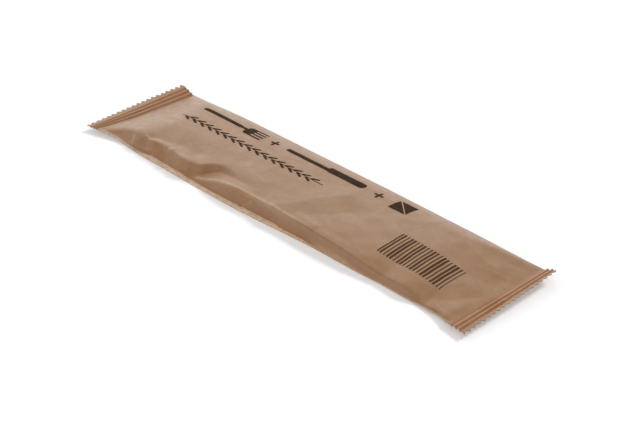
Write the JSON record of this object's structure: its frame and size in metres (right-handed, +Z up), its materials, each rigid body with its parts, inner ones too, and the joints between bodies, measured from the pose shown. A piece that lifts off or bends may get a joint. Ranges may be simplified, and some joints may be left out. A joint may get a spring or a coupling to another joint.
{
  "type": "sealed cutlery pack",
  "caption": "Flat brown kraft-paper sleeve around single-use wooden cutlery and a napkin, crimped shut at both ends with zig-zag cut edges.",
  "frame": {"origin": "on the table under the middle of the pack", "axes": "+X along the pack from one end seal to the other, +Y across it towards the far fold, +Z up from the table"},
  "size_m": [0.215, 0.051, 0.0072],
  "materials": {
    "kraft_paper": "uncoated brown kraft paper with a faint sheen, soft creases and dark brown print"
  },
  "bodies": {
    "root": {"sealed_pack": "kraft_paper"}
  },
  "joints": []
}
